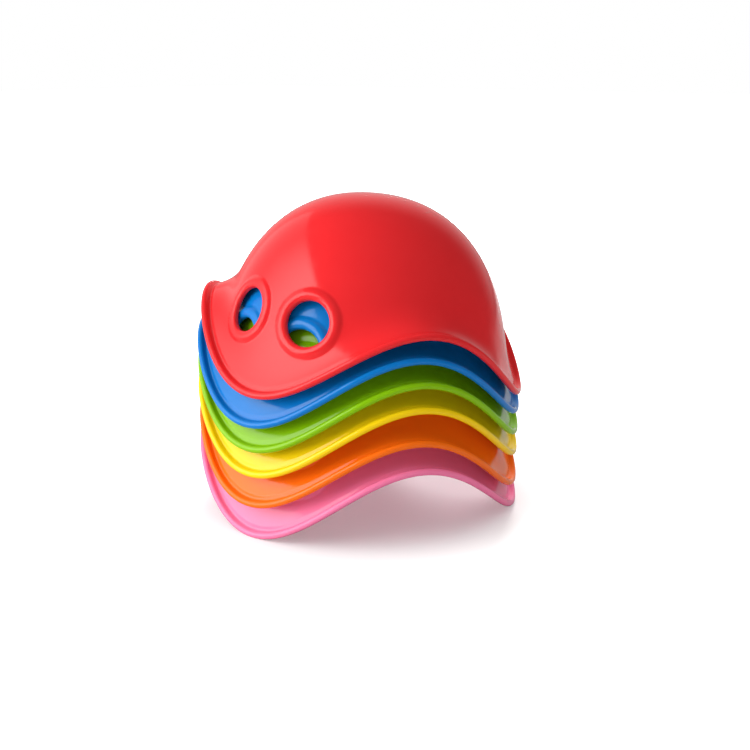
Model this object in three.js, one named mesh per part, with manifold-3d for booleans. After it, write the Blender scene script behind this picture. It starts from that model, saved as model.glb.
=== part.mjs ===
// A stack of six identical play shells, nested one over another: millimetres, +Z up.
//
// A shell is a helmet-like plastic dome on a wavy brim. Three feet of the brim hang down and three
// lobes between them rise, a rounded bead runs along the brim's edge, and two round eye holes with
// raised rings look out over the front foot. The stack stands on the three feet of the lowest shell,
// its front foot points towards -Y, and the origin is on the ground under the middle of the stack.

import * as THREE from 'three';
import { mergeVertices } from 'three/addons/utils/BufferGeometryUtils.js';
import Module from 'manifold-3d';

// ---- driving dimensions of one shell; heights are measured from the brim's mean plane ----
const WALL = 1.3;              // thickness of the dome and the brim
const DOME_TOP = 60.5;         // height of the outside of the dome
const DOME_RADIUS = 63.4;      // radius that the dome's side tends to at its foot
const DOME_SHOULDER = 2.29;    // exponents of the dome's superellipse, along its height
const DOME_SIDE = 2.17;        // and across its radius
const DOME_DRAFT = 0.08;       // extra inward lean of the dome's side, per millimetre of height
const BRIM_RADIUS = 68.3;      // radius of the bead's centre line
const BRIM_WAVE = 15.3;        // the bead's centre line rises and falls this much
const BRIM_WAVES = 3;          // feet around the brim
const FOOT_FLARE = 27.5;       // at a foot the brim leaves the dome's side this far above the bead
const LOBE_FLARE = 11.5;       // and at a lobe
const FOOT_SLOPE = 58;         // how steeply the brim ends at a foot, degrees below level
const LOBE_SLOPE = 15.5;       // and at a lobe
const BRIM_CURL = 0.39;        // handle lengths of the brim's curve, as a share of its chord
const BEAD_RADIUS = 1.4;

// ---- eyes ----
const EYE_AZIMUTH = 15.8;      // each eye sits this far round from the front foot, degrees
const EYE_HEIGHT = 14.5;
const EYE_GAZE = [14, 18];     // the eye's axis: degrees round from the front, and degrees upwards
const EYE_HOLE_RADIUS = 9.0;
const EYE_RING_RADIUS = 14.0;  // outside of the raised ring
const EYE_RING_TOP = 0.1;      // the ring's crest over the surface at the eye's middle
const EYE_CREST_HALF = 1.2;    // half the width of the crest
const EYE_RING_BASE = [-1.3, -2.3];  // the ring's underside, at the hole and at its outside
const EYE_RING_EDGE = -1.6;    // the ring's outer edge stands this low, where the dome falls away
const EYE_CUT_DEPTH = 7;       // the hole's cutter reaches this far in and out

// ---- the stack: how each shell has settled, from the lowest one up ----
// at is the middle of its brim over the lowest shell's, lean its rotation about X, Y and Z in degrees
const SHELLS = [
  { name: 'pink_shell', colour: 0xf7a3c6, at: [0, 0, 0], lean: [0, 0, 0] },
  { name: 'orange_shell', colour: 0xff8a1e, at: [0.3, -0.2, 11.7], lean: [-1.4, 0.8, -1.1] },
  { name: 'yellow_shell', colour: 0xffe01a, at: [0, 0, 24.3], lean: [-1.6, 0.4, 0.1] },
  { name: 'green_shell', colour: 0x7acb0c, at: [0.1, 0.2, 34.1], lean: [-2.2, 0.6, -0.1] },
  { name: 'blue_shell', colour: 0x0a86dc, at: [0.2, 0.3, 43.9], lean: [-2.3, 0.7, -1.1] },
  { name: 'red_shell', colour: 0xf03a3e, at: [1.4, 1.2, 54.7], lean: [-3.6, 3.0, 0.4] },
];
const STACK_SHIFT = [-0.7, -0.7];    // puts the origin under the middle of the stack's outline
const FOOT_FLAT = 0.25;        // the lowest shell's feet are flattened this much where they stand

// ---- facets ----
const AROUND = 36;
const DOME_ROWS = 7;
const BRIM_ROWS = 3;
const BEAD_FACETS = 5;
const EYE_FACETS = 16;

const DOME_FOOT = -BRIM_WAVE - 2;
const radians = THREE.MathUtils.degToRad;

// Radius of the dome's outside at a height: a superellipse from its foot to its top.
function domeRadius(z) {
  const rise = THREE.MathUtils.clamp((z - DOME_FOOT) / (DOME_TOP - DOME_FOOT), 0, 1);
  const bulge = DOME_RADIUS * (1 - rise ** DOME_SHOULDER) ** (1 / DOME_SIDE);
  return bulge - DOME_DRAFT * (z - DOME_FOOT) * (1 - rise);
}

// A value that swings between what it is at a lobe and at a foot; wave is 1 at a foot, -1 at a lobe.
function betweenLobeAndFoot(wave, atLobe, atFoot) {
  return THREE.MathUtils.lerp(atLobe, atFoot, (1 + wave) / 2);
}

// Outside of the shell in the half plane at one azimuth, as (radius, height) points: down the dome
// from next to its top, then along the brim's curve to the middle of the bead.
function outsideProfile(azimuth) {
  const wave = Math.cos(BRIM_WAVES * azimuth);
  const edge = new THREE.Vector2(BRIM_RADIUS, -BRIM_WAVE * wave);
  const joinHeight = edge.y + betweenLobeAndFoot(wave, LOBE_FLARE, FOOT_FLARE);
  const join = new THREE.Vector2(domeRadius(joinHeight), joinHeight);
  const step = 0.1;
  const draft = (domeRadius(joinHeight - step) - domeRadius(joinHeight + step)) / (2 * step);
  const downDome = new THREE.Vector2(draft, -1).normalize();
  const slope = radians(betweenLobeAndFoot(wave, LOBE_SLOPE, FOOT_SLOPE));
  const outBrim = new THREE.Vector2(Math.cos(slope), -Math.sin(slope));
  const handle = BRIM_CURL * edge.distanceTo(join);
  const curve = new THREE.CubicBezierCurve(
    join,
    join.clone().addScaledVector(downDome, handle),
    edge.clone().addScaledVector(outBrim, -handle),
    edge,
  );

  const points = [];
  const joinRise = (joinHeight - DOME_FOOT) / (DOME_TOP - DOME_FOOT);
  for (let row = 1; row < DOME_ROWS; row += 1) {
    const share = Math.sin((row / DOME_ROWS) * Math.PI / 2) ** 0.9;
    const rise = Math.cos(Math.acos(joinRise) * share);
    const z = DOME_FOOT + rise * (DOME_TOP - DOME_FOOT);
    points.push(new THREE.Vector2(domeRadius(z), z));
  }
  points.push(...curve.getPoints(BRIM_ROWS));
  return points;
}

// Unit normals of a profile, pointing out of the shell.
function profileNormals(points) {
  return points.map((point, i) => {
    const before = points[Math.max(i - 1, 0)];
    const after = points[Math.min(i + 1, points.length - 1)];
    return new THREE.Vector2(-(after.y - before.y), after.x - before.x).normalize();
  });
}

// The whole section at one azimuth: outside, round the bead, and back up the inside.
function sectionProfile(azimuth) {
  const outside = outsideProfile(azimuth);
  const normals = profileNormals(outside);
  const edge = outside.at(-1);
  const up = normals.at(-1);
  const out = new THREE.Vector2(up.y, -up.x);
  const section = outside.slice(0, -1);
  for (let i = 0; i <= BEAD_FACETS; i += 1) {
    const turn = Math.PI * (1 - 1.5 * i / BEAD_FACETS);
    section.push(edge.clone()
      .addScaledVector(out, BEAD_RADIUS * Math.cos(turn))
      .addScaledVector(up, BEAD_RADIUS * Math.sin(turn)));
  }
  for (let i = outside.length - 2; i >= 0; i -= 1) {
    section.push(outside[i].clone().addScaledVector(normals[i], -WALL));
  }
  return section;
}

// The plain shell: sections swept round the axis and closed by a point at the top, outside and in.
function plainShell() {
  const positions = [];
  const faces = [];
  const rows = sectionProfile(0).length;
  for (let turn = 0; turn < AROUND; turn += 1) {
    const azimuth = (turn / AROUND) * 2 * Math.PI;
    for (const point of sectionProfile(azimuth)) {
      positions.push(point.x * Math.sin(azimuth), -point.x * Math.cos(azimuth), point.y);
    }
  }
  const outerTop = AROUND * rows;
  const innerTop = outerTop + 1;
  positions.push(0, 0, DOME_TOP, 0, 0, DOME_TOP - WALL);
  for (let turn = 0; turn < AROUND; turn += 1) {
    const here = turn * rows;
    const next = ((turn + 1) % AROUND) * rows;
    faces.push(outerTop, here, next);
    for (let row = 0; row < rows - 1; row += 1) {
      faces.push(here + row, here + row + 1, next + row + 1);
      faces.push(here + row, next + row + 1, next + row);
    }
    faces.push(innerTop, next + rows - 1, here + rows - 1);
  }
  const shell = new THREE.BufferGeometry();
  shell.setAttribute('position', new THREE.Float32BufferAttribute(positions, 3));
  shell.setIndex(faces);
  return shell;
}

// ---- joining and cutting ----
const wasm = await Module();
wasm.setup();

function toSolid(geometry) {
  const bare = geometry.clone();
  bare.deleteAttribute('normal');
  bare.deleteAttribute('uv');
  const merged = mergeVertices(bare, 1e-4);
  return new wasm.Manifold(new wasm.Mesh({
    numProp: 3,
    vertProperties: new Float32Array(merged.attributes.position.array),
    triVerts: new Uint32Array(merged.index.array),
  }));
}

function toGeometry(solid) {
  const mesh = solid.getMesh();
  const geometry = new THREE.BufferGeometry();
  geometry.setAttribute('position', new THREE.BufferAttribute(mesh.vertProperties, 3));
  geometry.setIndex(new THREE.BufferAttribute(mesh.triVerts, 1));
  geometry.computeVertexNormals();
  return geometry;
}

// Puts a lathed shape, turned about +Y, on an eye with its axis along the gaze. side is -1 or 1.
function placeOnEye(geometry, side) {
  const azimuth = side * radians(EYE_AZIMUTH);
  const radius = domeRadius(EYE_HEIGHT);
  const middle = new THREE.Vector3(radius * Math.sin(azimuth), -radius * Math.cos(azimuth), EYE_HEIGHT);
  const turn = side * radians(EYE_GAZE[0]);
  const rise = radians(EYE_GAZE[1]);
  const gaze = new THREE.Vector3(
    Math.cos(rise) * Math.sin(turn),
    -Math.cos(rise) * Math.cos(turn),
    Math.sin(rise),
  );
  const turned = new THREE.Quaternion().setFromUnitVectors(new THREE.Vector3(0, 1, 0), gaze);
  return geometry.applyQuaternion(turned).translate(middle.x, middle.y, middle.z);
}

// The raised ring round an eye: a rounded crest whose flat underside stays inside the wall.
function eyeRing() {
  const inner = EYE_HOLE_RADIUS - 0.5;   // the hole's cutter trims this to size
  const middle = (EYE_HOLE_RADIUS + EYE_RING_RADIUS) / 2;
  const profile = [
    [inner, EYE_RING_BASE[0]],
    [EYE_RING_RADIUS, EYE_RING_BASE[1]],
    [EYE_RING_RADIUS, EYE_RING_EDGE],
    [middle + EYE_CREST_HALF, EYE_RING_TOP - 0.4],
    [middle, EYE_RING_TOP],
    [middle - EYE_CREST_HALF, EYE_RING_TOP - 0.1],
    [inner, EYE_RING_TOP - 0.4],
    [inner, EYE_RING_BASE[0]],
  ];
  return new THREE.LatheGeometry(profile.map(([r, h]) => new THREE.Vector2(r, h)), EYE_FACETS);
}

function eyeCutter() {
  return new THREE.CylinderGeometry(EYE_HOLE_RADIUS, EYE_HOLE_RADIUS, 2 * EYE_CUT_DEPTH, EYE_FACETS);
}

function shellSolid() {
  let solid = toSolid(plainShell());
  for (const side of [-1, 1]) {
    solid = solid.add(toSolid(placeOnEye(eyeRing(), side)));
    solid = solid.subtract(toSolid(placeOnEye(eyeCutter(), side)));
  }
  return solid;
}

// A slab just under the feet of the lowest shell, which takes off what its feet stand flat on.
function groundCutter(ground) {
  const slab = new THREE.BoxGeometry(3 * BRIM_RADIUS, 3 * BRIM_RADIUS, 10);
  return toSolid(slab.translate(0, 0, ground - 5));
}

// ---- the stack ----
const shell = shellSolid();
const ground = shell.boundingBox().min[2] + FOOT_FLAT;
const stack = new THREE.Group();
SHELLS.forEach(({ name, colour, at, lean }, level) => {
  const solid = level === 0 ? shell.subtract(groundCutter(ground)) : shell;
  const material = new THREE.MeshStandardMaterial({ color: colour, roughness: 0.18, metalness: 0 });
  const mesh = new THREE.Mesh(toGeometry(solid), material);
  mesh.name = name;
  mesh.position.set(at[0] + STACK_SHIFT[0], at[1] + STACK_SHIFT[1], at[2] - ground);
  mesh.rotation.set(...lean.map(radians), 'ZYX');
  stack.add(mesh);
});

export default stack;
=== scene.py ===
"""A stack of six identical nesting play shells in glossy plastic, on a white floor.

Each shell is a dome on a wavy three-footed brim with a rounded bead, and two ringed eye holes look
out over its front foot. Shells are worked out in millimetres from the driving dimensions below.
"""

import math

import bpy
import numpy as np
from mathutils import Euler, Matrix, Vector


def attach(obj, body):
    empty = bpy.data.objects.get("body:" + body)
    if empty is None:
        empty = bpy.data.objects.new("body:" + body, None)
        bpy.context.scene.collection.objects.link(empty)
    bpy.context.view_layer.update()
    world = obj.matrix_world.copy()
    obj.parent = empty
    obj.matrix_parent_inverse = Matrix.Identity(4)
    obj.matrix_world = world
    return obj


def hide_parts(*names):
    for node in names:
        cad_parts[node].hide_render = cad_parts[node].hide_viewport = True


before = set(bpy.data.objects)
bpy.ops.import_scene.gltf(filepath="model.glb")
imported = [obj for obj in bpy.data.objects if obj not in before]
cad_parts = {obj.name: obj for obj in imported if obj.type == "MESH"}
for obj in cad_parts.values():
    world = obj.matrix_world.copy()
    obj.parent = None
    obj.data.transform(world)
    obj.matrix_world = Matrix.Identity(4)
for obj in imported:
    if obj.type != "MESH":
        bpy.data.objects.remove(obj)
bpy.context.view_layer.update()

MM = 0.001

# ---- one shell, as in the CAD model; heights are measured from the brim's mean plane ----
WALL = 1.3
DOME_TOP = 60.5
DOME_RADIUS = 63.4
DOME_SHOULDER = 2.29        # exponents of the dome's superellipse, for its height
DOME_SIDE = 2.17            # and for its radius
DOME_DRAFT = 0.08           # how much the side above the foot is drawn in
BRIM_RADIUS = 68.3          # radius of the bead's centre line
BRIM_WAVE = 15.3            # which rises and falls this much
BRIM_WAVES = 3              # feet around the brim
FOOT_FLARE = 27.5           # at a foot the brim leaves the dome this far above its edge
LOBE_FLARE = 11.5           # and at a lobe
FOOT_SLOPE = 58             # how steeply the brim ends at a foot, degrees below level
LOBE_SLOPE = 15.5           # and at a lobe
BRIM_CURL = 0.39            # handle lengths of the brim's curve, as a share of its chord
BEAD_RADIUS = 1.4
DOME_FOOT = -BRIM_WAVE - 2  # the superellipse starts a little under the feet's edge

CHANNEL_DEPTH = 0.5         # a shallow channel runs along the inside of the bead
BEAD_FILLET_START = 150     # degrees round the bead where a fillet leaves it for the channel
CHANNEL_START = 2.2         # the fillet reaches the channel's floor this far from the bead's middle
CHANNEL_FLOOR = 2.3         # the floor ends here
CHANNEL_IN = 4.4            # and its shoulder ends here
FILLET_OUT = -BEAD_RADIUS * math.cos(math.radians(BEAD_FILLET_START))
FILLET_TOP = BEAD_RADIUS * math.sin(math.radians(BEAD_FILLET_START))

EYE_AZIMUTH = 15.8          # each eye sits this far round from the front foot, degrees
EYE_HEIGHT = 14.5
EYE_GAZE = (14, 18)         # the eye's axis: degrees round from the front, and degrees upwards
EYE_HOLE_RADIUS = 9.05
EYE_CREST_RADIUS = 11.4
EYE_RING_RADIUS = 14.1
EYE_CREST_HEIGHT = 1.15     # the ring's crest over the dome
EYE_CREST_ROUND = 1.35      # how quickly the crest falls away outwards
EYE_LIP_DROP = 1.5          # the crest rounds over into the hole by this much

# ---- the stack: (body, at, lean), from the lowest shell up ----
SHELLS = [
    ("pink", (0, 0, 0), (0, 0, 0)),
    ("orange", (0.3, -0.2, 11.7), (-1.4, 0.8, -1.1)),
    ("yellow", (0, 0, 24.3), (-1.6, 0.4, 0.1)),
    ("green", (0.1, 0.2, 34.1), (-2.2, 0.6, -0.1)),
    ("blue", (0.2, 0.3, 43.9), (-2.3, 0.7, -1.1)),
    ("red", (1.4, 1.2, 54.7), (-3.6, 3.0, 0.4)),
]
STACK_SHIFT = (-0.7, -0.7)
FOOT_FLAT = 0.25
GROUND = -BRIM_WAVE - BEAD_RADIUS + FOOT_FLAT

# ---- camera ----
VIEW_AZIMUTH = 39.8
VIEW_RISE = 18.8
VIEW_DISTANCE = 520
SENSOR_WIDTH = 36
LENS_WIDTHS = 1.556         # focal length in picture widths
AIM_OFFSET = (0.0213, 0.1087)  # the lowest shell's middle sits left of and below the picture's middle

# ---- light: a key softbox, a low back light, and the room ----
KEY_AZIMUTH = -59
KEY_RISE = 25
KEY_DISTANCE = 0.8
KEY_SIZE = (1.78, 0.92)
KEY_POWER = 18
KEY_FRONT = 1.4             # brightness at its front end
KEY_BACK = 0.15             # and at its back end
KEY_FADE = (0.35, 0.8)      # the share of its width over which one turns into the other
BACK_AZIMUTH = 209
BACK_RISE = 21
BACK_DISTANCE = 1.2
BACK_SIZE = (0.35, 0.25)
BACK_POWER = 16
LIGHTS_AIM = (0, 0, 0.06)
FLOOR_HALF = 6.0
FLOOR_SHADE = 0.72          # the paper's own shade
FLOOR_PAINTED_REFLECTION = 0.35     # painted reflection: the paper's shade as the plastic mirrors it, darker than its own
FLOOR_PAINTED_GLOW = 0.22           # painted light: how far the paper under the stack is lifted for the camera, by a glow that only the camera sees
FLOOR_FADE = (0.055, 0.125)  # between these distances from the middle the painted glow grows to plain white
FILL_LOW = 0.46             # the room's light near the horizon
FILL_HIGH = 0.66            # and from overhead
FILL_FADE = (0.1, 0.75)     # sine of the rise where the change starts and ends
ROOM_REFLECTION = 0.06      # how bright the room looks in the plastic
BACKDROP_REFLECTION = 0.5   # and the white backdrop behind the stack
BACKDROP_AZIMUTH = -140
BACKDROP_FADE = (0.55, 0.98)  # cosine off its middle where it starts and where it is full


# ---------------------------------------------------------------- the shell's surface
def dome_radius(z):
    """Radius of the dome's outside at a height: a superellipse from its foot to its top."""
    rise = np.clip((z - DOME_FOOT) / (DOME_TOP - DOME_FOOT), 0, 1)
    bulge = DOME_RADIUS * (1 - rise**DOME_SHOULDER) ** (1 / DOME_SIDE)
    return bulge - DOME_DRAFT * (z - DOME_FOOT) * (1 - rise)


def brim_curve(azimuth):
    """Control points of the brim's curve at each azimuth, as (radius, height) pairs."""
    wave = np.cos(BRIM_WAVES * azimuth)
    foot = (1 + wave) / 2
    edge = np.stack([np.full_like(wave, BRIM_RADIUS), -BRIM_WAVE * wave], -1)
    join_z = edge[..., 1] + LOBE_FLARE + foot * (FOOT_FLARE - LOBE_FLARE)
    join = np.stack([dome_radius(join_z), join_z], -1)
    draft = (dome_radius(join_z - 0.1) - dome_radius(join_z + 0.1)) / 0.2
    down = np.stack([draft, -np.ones_like(draft)], -1)
    down /= np.linalg.norm(down, axis=-1, keepdims=True)
    slope = np.radians(LOBE_SLOPE + foot * (FOOT_SLOPE - LOBE_SLOPE))
    out = np.stack([np.cos(slope), -np.sin(slope)], -1)
    handle = BRIM_CURL * np.linalg.norm(edge - join, axis=-1, keepdims=True)
    return join, join + down * handle, edge - out * handle, edge


def surface(azimuth, along):
    """Outside of the shell: along runs 0 to 1 down the dome and 1 to 2 along the brim's curve."""
    a, b, c, d = brim_curve(azimuth)
    t = np.clip(along - 1, 0, 1)[..., None]
    brim = a * (1 - t) ** 3 + 3 * b * t * (1 - t) ** 2 + 3 * c * t**2 * (1 - t) + d * t**3
    join_rise = (a[..., 1] - DOME_FOOT) / (DOME_TOP - DOME_FOOT)
    rise = np.cos(np.arccos(join_rise) * np.clip(along, 0, 1))
    dome_z = DOME_FOOT + rise * (DOME_TOP - DOME_FOOT)
    on_dome = along < 1
    radius = np.where(on_dome, dome_radius(dome_z), brim[..., 0])
    height = np.where(on_dome, dome_z, brim[..., 1])
    return np.stack([radius * np.sin(azimuth), -radius * np.cos(azimuth), height], -1)


def surface_normal(azimuth, along):
    """Outward normal of the outside, from differences along both parameters."""
    step = 1e-3
    low = np.maximum(along - step, 0)
    high = np.minimum(along + step, 2)
    across = surface(azimuth + step, along) - surface(azimuth - step, along)
    down = surface(azimuth, high) - surface(azimuth, low)
    normal = np.cross(down, across)
    return normal / np.linalg.norm(normal, axis=-1, keepdims=True)


# ---------------------------------------------------------------- the grid of one shell
COLUMNS = 180
DOME_ROWS = 34
BRIM_ROWS = 15
CHANNEL_ROWS = 14
CHANNEL_ROWS_REACH = CHANNEL_IN + 0.5   # the channel's rows start this far from the bead's middle
BEAD_STEPS = 18
HOLE_WALL_STEPS = 4
CURVE_SAMPLES = 401         # points along the brim's curve to measure its length by
FAR = 99.0                  # stands for a distance out of reach of the channel or the rings
NEWTON_STEPS = 14
NEWTON_LIMIT = 0.1          # the most that one step may move either parameter
NEWTON_RANGE = (0.1, 1.97)  # how far along the surface a step may lead
EYE_COLUMNS = 16            # each eye's patch spans this many columns from the front
EYE_ROWS_TOP = 35.0         # and starts on the first row under this height
EYE_BLEND_STEPS = 5         # rings of quads that turn the patch's outline into a circle
EYE_RADII = (14.6, 14.1, 13.6, 13.1, 12.6, 12.1, 11.6, 11.1, 10.6, 10.15, 9.75, 9.4, 9.17, 9.06)
EYE_GUESS_RADIUS = 25       # the Newton steps start nearer the eye's middle, the smaller the circle
EYE_GUESS_ALONG = 0.95      # and this is about where the middle lies along the surface


def grid_rows(azimuth):
    """Where each row of the grid lies along the surface, and how far from the brim's edge."""
    share = np.linspace(0, 1, DOME_ROWS + 1)[1:]
    dome = np.repeat(share[:, None], len(azimuth), 1)
    t = np.linspace(0, 1, CURVE_SAMPLES)
    every_azimuth = np.repeat(azimuth[None], CURVE_SAMPLES, 0)
    curve = surface(every_azimuth, 1 + np.repeat(t[:, None], len(azimuth), 1))
    step = np.linalg.norm(np.diff(curve, axis=0), axis=-1)
    to_edge = np.concatenate([np.cumsum(step[::-1], 0)[::-1], np.zeros((1, len(azimuth)))])
    rows = []
    for k in range(1, BRIM_ROWS + 1):
        rows.append(to_edge[0] + (CHANNEL_ROWS_REACH - to_edge[0]) * k / BRIM_ROWS)
    for k in range(1, CHANNEL_ROWS + 1):
        share = k / CHANNEL_ROWS
        rows.append(np.full(len(azimuth), CHANNEL_ROWS_REACH * (1 - share) + FILLET_OUT * share))
    brim = np.array([[1 + np.interp(-row[j], -to_edge[:, j], t) for j in range(len(azimuth))]
                     for row in rows])
    distance = np.concatenate([np.full_like(dome, FAR), np.array(rows)])
    return np.concatenate([dome, brim]), distance


def smooth(x):
    """An ease from 0 to 1."""
    x = np.clip(x, 0, 1)
    return x * x * (3 - 2 * x)


def channel(distance):
    """How high the outside stands at a distance from the bead's centre line."""
    sunk = -CHANNEL_DEPTH * (1 - smooth((distance - CHANNEL_FLOOR) / (CHANNEL_IN - CHANNEL_FLOOR)))
    width = CHANNEL_START - FILLET_OUT
    s = np.clip((distance - FILLET_OUT) / width, 0, 1)
    slope = -FILLET_OUT / FILLET_TOP
    fillet = (FILLET_TOP * (2 * s**3 - 3 * s**2 + 1) + slope * width * (s**3 - 2 * s**2 + s)
              - CHANNEL_DEPTH * (3 * s**2 - 2 * s**3))
    return np.where(distance < CHANNEL_START, fillet, sunk)


def eye_frame(side):
    """An eye's middle on the dome, its axis, and the right and up directions of its plane."""
    azimuth = side * math.radians(EYE_AZIMUTH)
    radius = float(dome_radius(np.array(EYE_HEIGHT)))
    middle = np.array([radius * math.sin(azimuth), -radius * math.cos(azimuth), EYE_HEIGHT])
    turn, rise = side * math.radians(EYE_GAZE[0]), math.radians(EYE_GAZE[1])
    gaze = np.array([math.cos(rise) * math.sin(turn), -math.cos(rise) * math.cos(turn), math.sin(rise)])
    right = np.array([math.cos(turn), math.sin(turn), 0.0])
    return middle, gaze, right, np.cross(right, gaze)


def flat_on_eye(points, eye):
    """Where points lie in an eye's plane."""
    middle, _, right, up = eye
    return np.stack([(points - middle) @ right, (points - middle) @ up], -1)


def ring_height(d):
    """Height of an eye's ring over the dome at a distance from the eye's axis."""
    out = np.clip((d - EYE_CREST_RADIUS) / (EYE_RING_RADIUS - EYE_CREST_RADIUS), 0, 1)
    outside = EYE_CREST_HEIGHT * (1 - out**2) ** EYE_CREST_ROUND
    into = np.clip((EYE_CREST_RADIUS - d) / (EYE_CREST_RADIUS - EYE_HOLE_RADIUS), 0, 1)
    return np.where(d > EYE_CREST_RADIUS, outside,
                    EYE_CREST_HEIGHT - EYE_LIP_DROP * (1 - np.sqrt(1 - into**2)))


def on_surface(targets, azimuth, along, eye):
    """Surface parameters whose points lie at the wanted places in the eye's plane, by Newton steps."""
    step = 1e-4
    for _ in range(NEWTON_STEPS):
        here = flat_on_eye(surface(azimuth, along), eye)
        by_azimuth = (flat_on_eye(surface(azimuth + step, along), eye) - here) / step
        by_along = (flat_on_eye(surface(azimuth, along + step), eye) - here) / step
        miss = targets - here
        det = by_azimuth[:, 0] * by_along[:, 1] - by_azimuth[:, 1] * by_along[:, 0]
        turn = (miss[:, 0] * by_along[:, 1] - miss[:, 1] * by_along[:, 0]) / det
        slide = (by_azimuth[:, 0] * miss[:, 1] - by_azimuth[:, 1] * miss[:, 0]) / det
        azimuth = azimuth + np.clip(turn, -NEWTON_LIMIT, NEWTON_LIMIT)
        along = np.clip(along + np.clip(slide, -NEWTON_LIMIT, NEWTON_LIMIT), *NEWTON_RANGE)
    return azimuth, along


class Skin:
    """One side of the shell as parameters on the surface, with quads that both sides share."""

    def __init__(self):
        self.azimuth = []
        self.along = []
        self.distance = []
        self.ring = []
        self.quads = []
        self.holes = []

    def add(self, azimuth, along, distance, ring):
        start = len(self.azimuth)
        self.azimuth.extend(azimuth)
        self.along.extend(along)
        self.distance.extend(distance)
        self.ring.extend(ring)
        return list(range(start, start + len(azimuth)))


def band(quads, upper, lower):
    """Joins two closed loops of the same length with quads."""
    count = len(upper)
    for k in range(count):
        nxt = (k + 1) % count
        quads.append((upper[k], lower[k], lower[nxt], upper[nxt]))


def shell_skin():
    """The shell's grid of quads, with the blocks around the eyes left out and patched."""
    azimuth = np.linspace(0, 2 * np.pi, COLUMNS, endpoint=False)
    along, distance = grid_rows(azimuth)
    rows = len(along)
    skin = Skin()
    index = []
    for i in range(rows):
        index.append(skin.add(azimuth, along[i], distance[i], np.full(COLUMNS, FAR)))
    height = surface(np.repeat(azimuth[None], rows, 0), along)[..., 2]
    block_columns = list(range(0, EYE_COLUMNS + 1)) + list(range(COLUMNS - EYE_COLUMNS, COLUMNS))
    top = int(np.argmax((height[:, block_columns] < EYE_ROWS_TOP).all(1)))
    bottom = DOME_ROWS + BRIM_ROWS - 1
    for i in range(rows - 1):
        for j in range(COLUMNS):
            in_eyes = top <= i < bottom and (j < EYE_COLUMNS or j >= COLUMNS - EYE_COLUMNS)
            if not in_eyes:
                nxt = (j + 1) % COLUMNS
                skin.quads.append((index[i][j], index[i + 1][j], index[i + 1][nxt], index[i][nxt]))
    for side in (-1, 1):
        eye_patch(skin, block_outline(index, side, top, bottom), side)
    return skin, index


def block_outline(index, side, top, bottom):
    """The grid's points round an eye's block, in order."""
    first = 0 if side > 0 else COLUMNS - EYE_COLUMNS
    columns = [(first + k) % COLUMNS for k in range(EYE_COLUMNS + 1)]
    loop = [(top, j) for j in columns[:-1]]
    loop += [(i, columns[-1]) for i in range(top, bottom)]
    loop += [(bottom, j) for j in columns[:0:-1]]
    loop += [(i, columns[0]) for i in range(bottom, top, -1)]
    return [index[i][j] for i, j in loop]


def eye_patch(skin, loop, side):
    """Fills an eye's block with rings of quads that turn from its outline into the round hole."""
    eye = eye_frame(side)
    azimuth = np.array([skin.azimuth[k] for k in loop])
    azimuth = np.where(azimuth > np.pi, azimuth - 2 * np.pi, azimuth)
    along = np.array([skin.along[k] for k in loop])
    outline = flat_on_eye(surface(azimuth, along), eye)
    bearing = np.arctan2(outline[:, 1], outline[:, 0])
    direction = np.stack([np.cos(bearing), np.sin(bearing)], -1)
    middle_azimuth = side * math.radians(EYE_AZIMUTH)
    previous = loop
    steps = [(k / EYE_BLEND_STEPS, EYE_RADII[0]) for k in range(1, EYE_BLEND_STEPS + 1)]
    steps += [(1.0, radius) for radius in EYE_RADII[1:]]
    for share, radius in steps:
        target = outline * (1 - share) + direction * radius * share
        inward = share * (1 - radius / EYE_GUESS_RADIUS)
        azimuth_guess = azimuth * (1 - inward) + middle_azimuth * inward
        along_guess = along * (1 - inward) + EYE_GUESS_ALONG * inward
        found_azimuth, found_along = on_surface(target, azimuth_guess, along_guess, eye)
        ring = skin.add(found_azimuth, found_along, np.full(len(loop), FAR),
                        np.linalg.norm(target, axis=-1))
        band(skin.quads, previous, ring)
        previous = ring
    skin.holes.append(previous)


class Body:
    """A mesh's vertices and faces, as they are added."""

    def __init__(self):
        self.vertices = np.zeros((0, 3))
        self.faces = []

    def add(self, points):
        start = len(self.vertices)
        self.vertices = np.concatenate([self.vertices, points])
        return list(range(start, len(self.vertices)))


def close_crown(body, outer, inner):
    """Closes the dome's top, outside and inside, with fans of triangles to the first row."""
    top, inner_top = body.add([[0, 0, DOME_TOP], [0, 0, DOME_TOP - WALL]])
    for j in range(COLUMNS):
        nxt = (j + 1) % COLUMNS
        body.faces.append((top, outer[j], outer[nxt]))
        body.faces.append((inner_top, inner[nxt], inner[j]))


def line_hole(body, outer, inner):
    """A hole's wall, straight from the lip to the inside."""
    lip, back = body.vertices[outer], body.vertices[inner]
    previous = outer
    for k in range(1, HOLE_WALL_STEPS):
        share = k / HOLE_WALL_STEPS
        loop = body.add(lip * (1 - share) + back * share)
        band(body.faces, previous, loop)
        previous = loop
    band(body.faces, previous, inner)


def add_bead(body, outer, inner):
    """The bead, round the brim's edge from the channel to the inside."""
    turn = np.linspace(0, 2 * np.pi, COLUMNS, endpoint=False)
    edge = surface(turn, np.full(COLUMNS, 2.0))
    up = surface_normal(turn, np.full(COLUMNS, 2.0))
    tangent = np.roll(edge, -1, 0) - np.roll(edge, 1, 0)
    out = np.cross(tangent, up)
    out /= np.linalg.norm(out, axis=-1, keepdims=True)
    previous = outer
    for k in range(1, BEAD_STEPS + 1):
        angle = math.radians(BEAD_FILLET_START - (BEAD_FILLET_START + 90) * k / BEAD_STEPS)
        loop = body.add(edge + BEAD_RADIUS * (math.cos(angle) * out + math.sin(angle) * up))
        band(body.faces, previous, loop)
        previous = loop
    band(body.faces, previous, inner)


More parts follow.
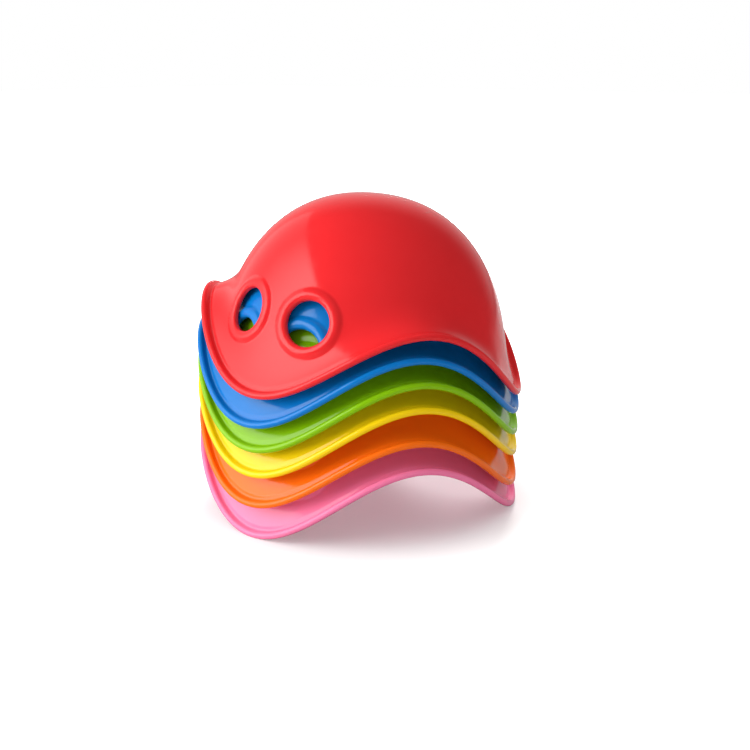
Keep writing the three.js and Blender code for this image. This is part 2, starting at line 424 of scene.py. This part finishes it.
def shell_mesh():
    """One closed shell in millimetres, with its brim's mean plane at z = 0."""
    skin, index = shell_skin()
    azimuth = np.array(skin.azimuth)
    along = np.array(skin.along)
    points = surface(azimuth, along)
    normals = surface_normal(azimuth, along)
    ring = np.array(skin.ring)
    lift = channel(np.array(skin.distance)) + np.where(ring < EYE_RING_RADIUS, ring_height(ring), 0)
    body = Body()
    body.add(points + normals * lift[:, None])
    body.add(points - normals * WALL)

    def inner(row):
        return [len(points) + k for k in row]

    body.faces += [tuple(q) for q in skin.quads]
    body.faces += [tuple(inner(q[::-1])) for q in skin.quads]
    close_crown(body, index[0], inner(index[0]))
    for hole in skin.holes:
        line_hole(body, hole, inner(hole))
    add_bead(body, index[-1], inner(index[-1]))
    return body.vertices, body.faces


# ---------------------------------------------------------------- materials
# noise scales are in waves per metre, depths in metres
DRIFT_SCALE = 22
SCUFF_SCALE = 900
SKIN_SCALE = 160
GRAIN_SCALE = 1800
GRAIN_DEPTH = 0.00002
SINK_SCALE = 28
SINK_DEPTH = 0.0003
SCUFF_ROUGHNESS = 0.05      # how much rougher a scuff is


def plastic(name, colour, shade, roughness=0.13):
    """Glossy moulded plastic: faint colour drift, a micro-textured skin, and light handling scuffs."""
    material = bpy.data.materials.new(name)
    material.use_nodes = True
    nodes, links = material.node_tree.nodes, material.node_tree.links
    shader = nodes["Principled BSDF"]
    place = nodes.new("ShaderNodeTexCoord")

    def noise(scale, detail, rough=0.5):
        node = nodes.new("ShaderNodeTexNoise")
        node.inputs["Scale"].default_value = scale
        node.inputs["Detail"].default_value = detail
        node.inputs["Roughness"].default_value = rough
        links.new(place.outputs["Object"], node.inputs["Vector"])
        return node.outputs["Fac"]

    def span(value, low, high, to_low, to_high):
        node = nodes.new("ShaderNodeMapRange")
        node.inputs["From Min"].default_value = low
        node.inputs["From Max"].default_value = high
        node.inputs["To Min"].default_value = to_low
        node.inputs["To Max"].default_value = to_high
        links.new(value, node.inputs["Value"])
        return node.outputs["Result"]

    drift = nodes.new("ShaderNodeMix")
    drift.data_type = "RGBA"
    links.new(span(noise(DRIFT_SCALE, 3), 0.35, 0.65, 0, 1), drift.inputs["Factor"])
    drift.inputs["A"].default_value = (*colour, 1)
    drift.inputs["B"].default_value = (*shade, 1)
    links.new(drift.outputs["Result"], shader.inputs["Base Color"])

    scuffs = span(noise(SCUFF_SCALE, 2, 0.7), 0.62, 0.72, 0, SCUFF_ROUGHNESS)
    skin = span(noise(SKIN_SCALE, 4), 0.3, 0.7, roughness - 0.02, roughness + 0.03)
    rough = nodes.new("ShaderNodeMath")
    rough.operation = "ADD"
    links.new(scuffs, rough.inputs[0])
    links.new(skin, rough.inputs[1])
    links.new(rough.outputs[0], shader.inputs["Roughness"])

    fine = nodes.new("ShaderNodeBump")
    fine.inputs["Strength"].default_value = 0.25
    fine.inputs["Distance"].default_value = GRAIN_DEPTH
    links.new(noise(GRAIN_SCALE, 3), fine.inputs["Height"])
    sink = nodes.new("ShaderNodeBump")
    sink.inputs["Strength"].default_value = 0.3
    sink.inputs["Distance"].default_value = SINK_DEPTH
    links.new(noise(SINK_SCALE, 1), sink.inputs["Height"])
    links.new(fine.outputs["Normal"], sink.inputs["Normal"])
    links.new(sink.outputs["Normal"], shader.inputs["Normal"])
    shader.inputs["IOR"].default_value = 1.5
    shader.inputs["Specular IOR Level"].default_value = 0.3
    return material


# colour and its slight drift, for each shell
PLASTICS = {
    "pink": ((0.97, 0.22, 0.41), (0.95, 0.205, 0.39)),
    "orange": ((0.97, 0.165, 0.006), (0.95, 0.155, 0.005)),
    "yellow": ((0.97, 0.65, 0.004), (0.95, 0.62, 0.004)),
    "green": ((0.24, 0.52, 0.002), (0.225, 0.49, 0.002)),
    "blue": ((0.002, 0.185, 0.58), (0.002, 0.172, 0.55)),
    "red": ((0.80, 0.022, 0.026), (0.77, 0.020, 0.024)),
}


# ---------------------------------------------------------------- the pieces
def stack_place(at, lean):
    """Where a shell's own frame lies in the stack's, in metres."""
    turned = Euler([math.radians(v) for v in lean], "XYZ").to_matrix().to_4x4()
    moved = Matrix.Translation(
        Vector((at[0] + STACK_SHIFT[0], at[1] + STACK_SHIFT[1], at[2] - GROUND)) * MM)
    return moved @ turned


def make_shells():
    """Six copies of one shell, each baked in its place and painted its own colour."""
    vertices, faces = shell_mesh()
    pattern = bpy.data.meshes.new("shell")
    pattern.from_pydata((vertices * MM).tolist(), [], faces)
    pattern.polygons.foreach_set("use_smooth", [True] * len(faces))
    for body, at, lean in SHELLS:
        mesh = pattern.copy()
        mesh.transform(stack_place(at, lean))
        if body == SHELLS[0][0]:
            flatten_feet(mesh)
        mesh.update()
        piece = bpy.data.objects.new(body + "_shell_skin", mesh)
        bpy.context.scene.collection.objects.link(piece)
        mesh.materials.append(plastic(body + "_plastic_skin", *PLASTICS[body]))
        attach(piece, body)
        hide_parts(body + "_shell")


def flatten_feet(mesh):
    """The lowest shell stands on small flats under its feet."""
    for vertex in mesh.vertices:
        vertex.co.z = max(vertex.co.z, 0.0)


# ---------------------------------------------------------------- camera, floor and light
def look_from(azimuth, rise, distance, target):
    """A matrix at a distance from the target, looking at it; azimuth 0 looks along +Y."""
    a, e = math.radians(azimuth), math.radians(rise)
    back = Vector((math.sin(a) * math.cos(e), -math.cos(a) * math.cos(e), math.sin(e)))
    turned = back.to_track_quat("Z", "Y").to_matrix().to_4x4()
    return Matrix.Translation(Vector(target) + back * distance) @ turned


def make_camera():
    """A camera turned to the middle of the lowest shell's brim, shifted to frame the whole stack."""
    data = bpy.data.cameras.new("camera")
    data.sensor_width = SENSOR_WIDTH
    data.lens = SENSOR_WIDTH * LENS_WIDTHS
    data.shift_x, data.shift_y = AIM_OFFSET
    data.clip_start = 0.01
    camera = bpy.data.objects.new("camera", data)
    bpy.context.scene.collection.objects.link(camera)
    middle = Vector((STACK_SHIFT[0], STACK_SHIFT[1], -GROUND)) * MM
    camera.matrix_world = look_from(VIEW_AZIMUTH, VIEW_RISE, VIEW_DISTANCE * MM, middle)
    bpy.context.scene.camera = camera


def area_light(name, azimuth, rise, distance, size, power):
    """A rectangular light that looks at the stack."""
    data = bpy.data.lights.new(name, "AREA")
    data.shape = "RECTANGLE"
    data.size, data.size_y = size
    data.energy = power
    light = bpy.data.objects.new(name, data)
    bpy.context.scene.collection.objects.link(light)
    light.matrix_world = look_from(azimuth, rise, distance, LIGHTS_AIM)
    return light


def make_lights():
    """A large key softbox at the left front, and a low light behind that shines in under the brims."""
    key = area_light("key_softbox", KEY_AZIMUTH, KEY_RISE, KEY_DISTANCE, KEY_SIZE, KEY_POWER)
    key.data.use_nodes = True
    nodes, links = key.data.node_tree.nodes, key.data.node_tree.links
    place = nodes.new("ShaderNodeNewGeometry")
    split = nodes.new("ShaderNodeSeparateXYZ")
    links.new(place.outputs["Parametric"], split.inputs[0])
    strength = ramp_between(nodes, links, split.outputs["X"], *KEY_FADE, KEY_BACK, KEY_FRONT)
    links.new(strength, nodes["Emission"].inputs["Strength"])
    back = area_light("back_light", BACK_AZIMUTH, BACK_RISE, BACK_DISTANCE, BACK_SIZE, BACK_POWER)
    back.visible_glossy = False


def ramp_between(nodes, links, value, low, high, at_low, at_high):
    """A smooth change from one value to another."""
    node = nodes.new("ShaderNodeMapRange")
    node.interpolation_type = "SMOOTHSTEP"
    node.inputs["From Min"].default_value = low
    node.inputs["From Max"].default_value = high
    node.inputs["To Min"].default_value = at_low
    node.inputs["To Max"].default_value = at_high
    links.new(value, node.inputs["Value"])
    return node.outputs["Result"]


def blend_values(nodes, links, share, at_zero, at_one):
    """A value between two others, each a number or a socket."""
    node = nodes.new("ShaderNodeMix")
    links.new(share, node.inputs["Factor"])
    for socket, value in (("A", at_zero), ("B", at_one)):
        if isinstance(value, float):
            node.inputs[socket].default_value = value
        else:
            links.new(value, node.inputs[socket])
    return node.outputs["Result"]


def make_floor():
    """White paper with painted light: a glow that only the camera sees lifts it to plain white away
    from the stack, and the plastic mirrors it in a painted darker shade.
    """
    mesh = bpy.data.meshes.new("floor")
    corners = [(-FLOOR_HALF, -FLOOR_HALF, 0), (FLOOR_HALF, -FLOOR_HALF, 0),
               (FLOOR_HALF, FLOOR_HALF, 0), (-FLOOR_HALF, FLOOR_HALF, 0)]
    mesh.from_pydata(corners, [], [(0, 1, 2, 3)])
    floor = bpy.data.objects.new("floor", mesh)
    bpy.context.scene.collection.objects.link(floor)
    material = bpy.data.materials.new("white_paper")
    material.use_nodes = True
    nodes, links = material.node_tree.nodes, material.node_tree.links
    shader = nodes["Principled BSDF"]
    shader.inputs["Roughness"].default_value = 0.8
    shader.inputs["Specular IOR Level"].default_value = 0.1
    shader.inputs["Emission Color"].default_value = (1, 1, 1, 1)
    place = nodes.new("ShaderNodeTexCoord")
    length = nodes.new("ShaderNodeVectorMath")
    length.operation = "LENGTH"
    links.new(place.outputs["Object"], length.inputs[0])
    # painted light: emission seen only by the camera, low under the stack and plain white farther out
    glow = ramp_between(nodes, links, length.outputs["Value"], *FLOOR_FADE, FLOOR_PAINTED_GLOW, 1.0)
    path = nodes.new("ShaderNodeLightPath")
    # painted reflection: glossy rays see the paper darker than its own shade
    paper = blend_values(nodes, links, path.outputs["Is Glossy Ray"], FLOOR_SHADE, FLOOR_PAINTED_REFLECTION)
    links.new(paper, shader.inputs["Base Color"])
    seen = blend_values(nodes, links, path.outputs["Is Camera Ray"], 0.0, glow)
    links.new(seen, shader.inputs["Emission Strength"])
    mesh.materials.append(material)


def facing(nodes, links, direction, azimuth):
    """How directly a direction points to an azimuth, from -1 to 1."""
    node = nodes.new("ShaderNodeVectorMath")
    node.operation = "DOT_PRODUCT"
    turn = math.radians(azimuth)
    node.inputs[1].default_value = (math.sin(turn), -math.cos(turn), 0)
    links.new(direction, node.inputs[0])
    return node.outputs["Value"]


def make_world():
    """A room lit from above; the plastic reflects it dark with a bright backdrop behind the stack."""
    world = bpy.data.worlds.new("studio")
    world.use_nodes = True
    nodes, links = world.node_tree.nodes, world.node_tree.links
    background = nodes["Background"]
    background.inputs["Color"].default_value = (1, 1, 1, 1)
    direction = nodes.new("ShaderNodeTexCoord").outputs["Generated"]
    split = nodes.new("ShaderNodeSeparateXYZ")
    links.new(direction, split.inputs[0])
    fill = ramp_between(nodes, links, split.outputs["Z"], *FILL_FADE, FILL_LOW, FILL_HIGH)
    behind = facing(nodes, links, direction, BACKDROP_AZIMUTH)
    room = ramp_between(nodes, links, behind, *BACKDROP_FADE, ROOM_REFLECTION, BACKDROP_REFLECTION)
    path = nodes.new("ShaderNodeLightPath")
    bounced = blend_values(nodes, links, path.outputs["Is Glossy Ray"], fill, room)
    seen = blend_values(nodes, links, path.outputs["Is Camera Ray"], bounced, 1.0)
    links.new(seen, background.inputs["Strength"])
    bpy.context.scene.world = world
    bpy.context.scene.view_settings.view_transform = "Standard"


make_camera()
make_shells()
make_floor()
make_world()
make_lights()
